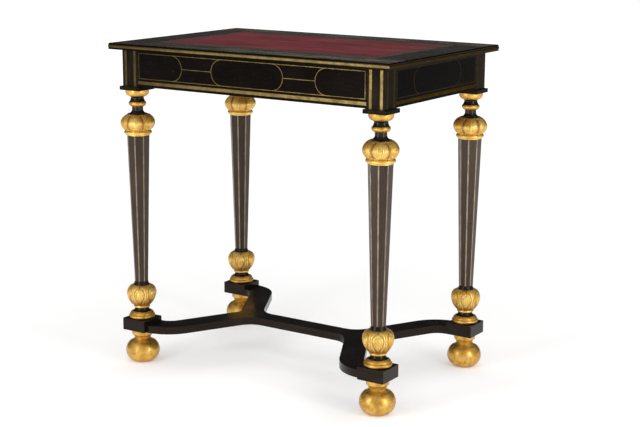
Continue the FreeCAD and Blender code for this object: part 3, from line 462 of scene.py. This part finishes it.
def carve_capital(angle, height):
    """Lines, swell and shade of a melon capital: lobes with a border line and fanned veins."""
    seam_depth, line_depth, scallop_depth = 0.9, 0.5, 0.55
    crown_shade, side_shade = 0.2, 0.22
    lobe_swell, lobe_fall = 1.3, 3.0
    border_place, seam_place, collar_height, fringe_waves = 0.72, 0.74, 0.86, 3.5
    across = leaf_place(angle)
    body = between(height, rise=(0.02, 0.1), fall=(1.0, 0.9))
    spread = 0.45 + 0.55 * np.sin(math.pi * np.clip(height, 0, 1))
    seam = step_up(across, seam_place, 1.0)
    border = ridge(across - border_place * spread ** 0.3, width=0.045)
    veins = sum(ridge(across - place * spread, width=0.04) for place in VEIN_PLACES)
    veins = veins * between(height, rise=(0.12, 0.3), fall=(0.95, 0.8))
    scallop = ridge(height - 0.08 - 0.14 * across ** 2, width=0.03) * step_up(across, 0.98, 0.8)
    fringe = 0.5 - 0.5 * np.cos(2 * math.pi * across * fringe_waves)
    collar = fringe * ridge(height - collar_height, width=0.07)
    lines = seam_depth * seam + line_depth * (border + veins + collar) + scallop_depth * scallop
    swell = lobe_swell - lobe_fall * across ** 2
    shade = (lines / seam_depth + crown_shade * step_up(height, 0.6, 0.95)
             + side_shade * across ** 2)
    return body * lines, body * swell, shade


def carve_bulb(angle, height):
    """Lines, swell and shade of a bulb: round-headed leaves, darts, and ribs that meet below."""
    outline_depth, inner_depth, rib_depth, dart_depth, side_depth = 1.1, 0.85, 0.65, 1.0, 0.7
    full_shade, foot_shade, crown_shade = 1.2, 0.6, 0.3
    ground_swell, ground_drop, leaf_swell = 0.5, 0.3, 0.6
    leaf_width, inner_width, side_place = 0.72, 0.42, 0.62
    across = leaf_place(angle)
    body = between(height, rise=(0.02, 0.12), fall=(0.99, 0.92))
    taper = 0.3 + 0.7 * step_up(height, 0.0, 0.62)
    half_width = leaf_width * taper * round_head(height, shoulder=0.56, length=0.3)
    outline = ridge(across - half_width, width=0.07)
    inside = step_up(across, half_width + 0.03, half_width - 0.06)
    inner_half = inner_width * taper * round_head(height, shoulder=0.5, length=0.22)
    inner = ridge(across - inner_half, width=0.055) * step_up(height, 0.04, 0.12)
    ribs = sum(ridge(across - place * taper, width=0.04) for place in RIB_PLACES)
    ribs = ribs * inside * step_up(height, 0.62, 0.5)
    dart = ridge(across - 1.0, width=0.05) * step_up(height, 0.9, 0.7)
    side = ridge(across - side_place - 0.3 * (1 - taper), width=0.05)
    side = side * (1 - inside) * step_up(height, 0.85, 0.6)
    lines = (outline_depth * outline + inner_depth * inner + rib_depth * ribs
             + dart_depth * dart + side_depth * side)
    swell = ground_swell - ground_drop * (1 - inside) + leaf_swell * inside * (1 - across ** 2)
    shade = (lines / full_shade + foot_shade * step_up(height, 0.5, 0.1)
             + crown_shade * step_up(height, 0.8, 0.95))
    return body * lines, body * swell, shade


def turned_mesh(name, rings, carved, carve):
    """A bored turning of the profile rings (radius and level), carved from carved[0] to carved[1].

    The painted shade of the carving is kept on the mesh as an attribute.
    """
    first, last = carved
    tangent = np.gradient(rings, axis=0)
    tangent /= np.hypot(tangent[:, 0], tangent[:, 1])[:, None]
    outward = np.stack((tangent[:, 1], -tangent[:, 0]), axis=1)
    steps = np.hypot(*np.diff(rings[first:last], axis=0).T)
    height = np.concatenate(([0.0], np.cumsum(steps))) / steps.sum()
    angle = np.arange(SIDES) * 2 * math.pi / SIDES
    count = len(rings)
    depth = np.zeros((count, SIDES))
    shade = np.zeros((count, SIDES))
    lines, swell, shade[first:last] = carve(angle[None, :], height[:, None])
    depth[first:last] = lines - swell
    radius = rings[:, None, 0] - outward[:, None, 0] * depth
    level = rings[:, None, 1] - outward[:, None, 1] * depth
    points = np.stack((radius * np.sin(angle), -radius * np.cos(angle), level), axis=-1) * MM
    faces = []
    for ring in range(count):
        here, above = ring * SIDES, (ring + 1) % count * SIDES
        for side in range(SIDES):
            beside = (side + 1) % SIDES
            faces.append((here + side, here + beside, above + beside, above + side))
    mesh = bpy.data.meshes.new(name)
    mesh.from_pydata(points.reshape(-1, 3).tolist(), [], faces)
    recess = mesh.attributes.new("recess", "FLOAT", "POINT")
    recess.data.foreach_set("value", np.clip(shade, 0, 1).ravel().astype(np.float32))
    mesh.shade_smooth()
    mesh.set_sharp_from_angle(angle=SHARP_ANGLE)
    return mesh


def capital_mesh():
    """A plain band, a half-round ring and a carved melon."""
    band_level, ring_level, melon_level, belly_level, crown_level = 546.5, 548.5, 556.5, 575, 595
    band_radius, ring_radius, belly_radius, crown_radius = 28.2, 28.94, 40.6, 23
    band = [(BORE_RADIUS, band_level), (band_radius, band_level), (band_radius, ring_level)]
    ring = arc((ring_radius, ring_level), (ring_radius, melon_level), swell=3.36, count=12)
    lower = arc((ring_radius, melon_level), (belly_radius, belly_level), swell=1.7, count=34)
    upper = arc((belly_radius, belly_level), (crown_radius, crown_level), swell=3.6, count=38)
    melon = np.concatenate((lower, upper[1:]))
    for _ in range(MELON_SMOOTHING):
        melon[1:-1] = (melon[:-2] + 2 * melon[1:-1] + melon[2:]) / 4
    rings = np.concatenate((band, ring, melon[1:], [(BORE_RADIUS, crown_level)]))
    carved = (len(band) + len(ring) - 1, len(rings) - 1)
    return turned_mesh("leg_capital", rings, carved, carve_capital)


def bulb_mesh():
    """A small ring and a carved bulb."""
    ring_level, bulb_level, belly_level, crown_level = 133, 137.5, 168, 188
    ring_radius, belly_radius, crown_radius = 18.4, 34.1, 19.5
    foot = [(BORE_RADIUS, ring_level)]
    ring = arc((ring_radius, ring_level), (ring_radius, bulb_level), swell=1.0, count=8)
    lower = arc((ring_radius, bulb_level), (belly_radius, belly_level), swell=3.8, count=42)
    upper = arc((belly_radius, belly_level), (crown_radius, crown_level), swell=4.2, count=30)
    rings = np.concatenate((foot, ring, lower[1:], upper[1:], [(BORE_RADIUS, crown_level)]))
    carved = (len(foot) + len(ring) - 1, len(rings) - 1)
    return turned_mesh("leg_bulb", rings, carved, carve_bulb)


def carve_legs(finish):
    """Carved capitals and bulbs on the four legs."""
    for kind, mesh in (("leg_capital_", capital_mesh()), ("leg_bulb_", bulb_mesh())):
        mesh.materials.append(finish)
        for corner in CORNERS:
            low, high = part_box(kind + corner)
            centre = ((low[0] + high[0]) / 2, (low[1] + high[1]) / 2, 0)
            placed = mesh.copy()
            placed.transform(Matrix.Translation(centre))
            piece = bpy.data.objects.new("carved_" + kind + corner, placed)
            bpy.context.scene.collection.objects.link(piece)
            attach(piece, "table")
            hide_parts(kind + corner)


# Leather. Sizes are in millimetres.
FINE_STEP = 0.5
FINE_INSET = 24.0
MIDDLE_STEP = 6.0
TOOLED_LINES = ((14.0, 0.3, 0.7), (17.5, 0.22, 0.5))  # inset, depth and width
FACE_SINK = 0.02
EDGE_DROP = 0.5
EDGE_WIDTH = 2.5
BROAD_WAVE = 0.06
FINE_WAVE = 0.03


def close_lines(half):
    """Places across a sheet: close together near its edges and farther apart in the middle."""
    fine = np.arange(0.0, FINE_INSET, FINE_STEP)
    inner = half - FINE_INSET
    middle = np.linspace(-inner, inner, int(2 * inner / MIDDLE_STEP))
    return np.concatenate((-half + fine, middle, (half - fine)[::-1]))


def lay_leather(finish):
    """The hide as one thin sheet: soft edge, two tooled lines and a slightly uneven face."""
    low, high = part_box("leather_panel")
    half_x, half_y = high[0] / MM, high[1] / MM
    across, along = np.meshgrid(close_lines(half_x), close_lines(half_y), indexing="ij")
    inset = np.minimum(half_x - np.abs(across), half_y - np.abs(along))
    tooled = sum(depth * ridge(inset - place, width) for place, depth, width in TOOLED_LINES)
    uneven = (BROAD_WAVE * np.sin(across / 31) * np.sin(along / 23 + across / 57)
              + FINE_WAVE * np.sin(across / 9 + along / 13))
    top = (high[2] / MM - FACE_SINK - tooled - EDGE_DROP * step_up(inset, EDGE_WIDTH, 0.0)
           + uneven * step_up(inset, 2.0, 12.0))
    points = np.stack((across, along, top), axis=-1).reshape(-1, 3) * MM
    index = np.arange(across.size).reshape(across.shape)
    face = np.stack((index[:-1, :-1], index[1:, :-1], index[1:, 1:], index[:-1, 1:]), axis=-1)
    rim = np.concatenate((index[:-1, 0], index[-1, :-1], index[:0:-1, -1], index[0, :0:-1]))
    under = points[rim]
    under[:, 2] = low[2]
    below = len(points) + np.arange(len(rim))
    skirt = np.stack((np.roll(rim, -1), rim, below, np.roll(below, -1)), axis=-1)
    faces = face.reshape(-1, 4).tolist() + skirt.tolist() + [below[::-1].tolist()]
    mesh = bpy.data.meshes.new("leather")
    mesh.from_pydata(np.concatenate((points, under)).tolist(), [], faces)
    mesh.shade_smooth()
    mesh.set_sharp_from_angle(angle=SHARP_ANGLE)
    mesh.materials.append(finish)
    piece = bpy.data.objects.new("leather_hide", mesh)
    bpy.context.scene.collection.objects.link(piece)
    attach(piece, "table")
    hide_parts("leather_panel")


# Stage, light and camera, in metres and degrees
FLOOR_REACH = 60.0
TOWARDS_CAMERA = (0.55, -0.835, 0.0)
SOFTBOX_DISTANCE = 2.0
SOFTBOX_HEIGHT = 0.78
SOFTBOX_WIDTH = 0.4
SOFTBOX_TALL = 1.45
SOFTBOX_POWER = 9.7
SOFTBOX_AIM = Vector((0, 0, 0.4))
CAMERA_AZIMUTH = math.radians(33.34)
CAMERA_ELEVATION = math.radians(12.3)
CAMERA_ROLL = math.radians(0.26)
CAMERA_PLACE = (1.8345, -2.7169, 1.0783)
CAMERA_LENS = 80.71
CAMERA_SENSOR = 36.0


def make_floor():
    """A pale floor that looks white away from the table and keeps the table's shadow.

    Painted light near the middle of the table makes the shade under it fainter.
    """
    mesh = bpy.data.meshes.new("floor")
    corners = [(-FLOOR_REACH, -FLOOR_REACH, 0), (FLOOR_REACH, -FLOOR_REACH, 0),
               (FLOOR_REACH, FLOOR_REACH, 0), (-FLOOR_REACH, FLOOR_REACH, 0)]
    mesh.from_pydata(corners, [], [(0, 1, 2, 3)])
    floor = bpy.data.objects.new("floor", mesh)
    bpy.context.scene.collection.objects.link(floor)
    graph = Graph("pale_floor")
    path = graph.node("LightPath")
    seen = graph.math("MAXIMUM", path["Is Camera Ray"], path["Is Glossy Ray"])
    seen = graph.math("MAXIMUM", seen, path["Is Transmission Ray"])
    away = graph.node("VectorMath", graph.place, operation="LENGTH")["Value"]
    # Painted light: the glow rises towards the middle of the table, lifting the shade under its
    # top.
    under_table_light = graph.ramp(away, low=0.1, high=0.7, start=0.28, end=0.16)
    far_glow = graph.ramp(away, low=0.7, high=4.0, end=0.12)
    glow = graph.math("MULTIPLY", seen, graph.math("ADD", under_table_light, far_glow))
    graph.set(Base_Color=graph.mix(graph.noise(scale=3.0), FLOOR_GREY, FLOOR_PALE),
              Roughness=1.0, Specular_IOR_Level=0.0, Emission_Color=WHITE, Emission_Strength=glow)
    mesh.materials.append(graph.material)


def make_world():
    """Even light and a white background; reflections are soft, with a dim wall behind."""
    world = bpy.data.worlds.new("studio")
    world.use_nodes = True
    bpy.context.scene.world = world
    tree = world.node_tree

    def add(kind, source, **inputs):
        item = tree.nodes.new("ShaderNode" + kind)
        for key, value in inputs.items():
            item.inputs[key.replace("_", " ")].default_value = value
        tree.links.new(source, item.inputs[0])
        return item

    def ramp(source, low, high, start, end):
        return add("MapRange", source, From_Min=low, From_Max=high,
                   To_Min=start, To_Max=end).outputs[0]

    def combine(operation, first, second):
        item = add("Math", first)
        item.operation = operation
        tree.links.new(second, item.inputs[1])
        return item.outputs[0]

    direction = tree.nodes.new("ShaderNodeTexCoord").outputs["Generated"]
    height = add("SeparateXYZ", direction).outputs["Z"]
    towards = add("VectorMath", direction)
    towards.operation = "DOT_PRODUCT"
    towards.inputs[1].default_value = TOWARDS_CAMERA
    ahead = towards.outputs["Value"]
    low = ramp(height, low=0.0, high=0.07, start=1.0, end=0.0)
    behind = ramp(ahead, low=-0.4, high=-0.8, start=0.0, end=1.0)
    front = ramp(ahead, low=-0.5, high=0.2, start=0.035, end=0.55)
    above = ramp(height, low=0.4, high=0.8, start=0.0, end=0.5)
    horizon = combine("MULTIPLY", low, behind)
    reflected = combine("MAXIMUM", combine("MAXIMUM", horizon, front), above)
    sky = ramp(height, low=0.0, high=0.7, start=0.38, end=1.05)
    path = tree.nodes.new("ShaderNodeLightPath").outputs
    light = add("Mix", path["Is Diffuse Ray"])
    tree.links.new(reflected, light.inputs["A"])
    tree.links.new(sky, light.inputs["B"])
    shown = add("Mix", path["Is Camera Ray"], B=1.0)
    tree.links.new(light.outputs[0], shown.inputs["A"])
    background = tree.nodes["Background"]
    background.inputs["Color"].default_value = WHITE
    tree.links.new(shown.outputs[0], background.inputs["Strength"])


def make_softbox(name, azimuth):
    """A tall soft lamp that faces the table; azimuth is degrees from the front to the right."""
    lamp = bpy.data.lights.new(name, "AREA")
    lamp.shape = "RECTANGLE"
    lamp.size = SOFTBOX_WIDTH
    lamp.size_y = SOFTBOX_TALL
    lamp.energy = SOFTBOX_POWER
    holder = bpy.data.objects.new(name, lamp)
    bpy.context.scene.collection.objects.link(holder)
    angle = math.radians(azimuth)
    holder.location = (SOFTBOX_DISTANCE * math.sin(angle), -SOFTBOX_DISTANCE * math.cos(angle),
                       SOFTBOX_HEIGHT)
    aim = SOFTBOX_AIM - holder.location
    holder.rotation_euler = aim.to_track_quat("-Z", "Y").to_euler()
    holder.visible_camera = False


def make_camera():
    """The camera found from the table's own corners in the photograph."""
    flat_reach = math.cos(CAMERA_ELEVATION)
    level = Vector((math.cos(CAMERA_AZIMUTH), math.sin(CAMERA_AZIMUTH), 0))
    back = Vector((math.sin(CAMERA_AZIMUTH) * flat_reach, -math.cos(CAMERA_AZIMUTH) * flat_reach,
                   math.sin(CAMERA_ELEVATION)))
    right = level * math.cos(CAMERA_ROLL) + back.cross(level) * math.sin(CAMERA_ROLL)
    up = back.cross(right)
    lens = bpy.data.cameras.new("camera")
    lens.sensor_width = CAMERA_SENSOR
    lens.lens = CAMERA_LENS
    camera = bpy.data.objects.new("camera", lens)
    bpy.context.scene.collection.objects.link(camera)
    rotation = Matrix((right, up, back)).transposed().to_4x4()
    camera.matrix_world = Matrix.Translation(CAMERA_PLACE) @ rotation
    bpy.context.scene.camera = camera


dress_nodes()
make_floor()
make_world()
make_softbox("left_softbox", azimuth=-13.0)
make_softbox("right_softbox", azimuth=79.0)
make_camera()
bpy.context.scene.view_settings.view_transform = "Standard"
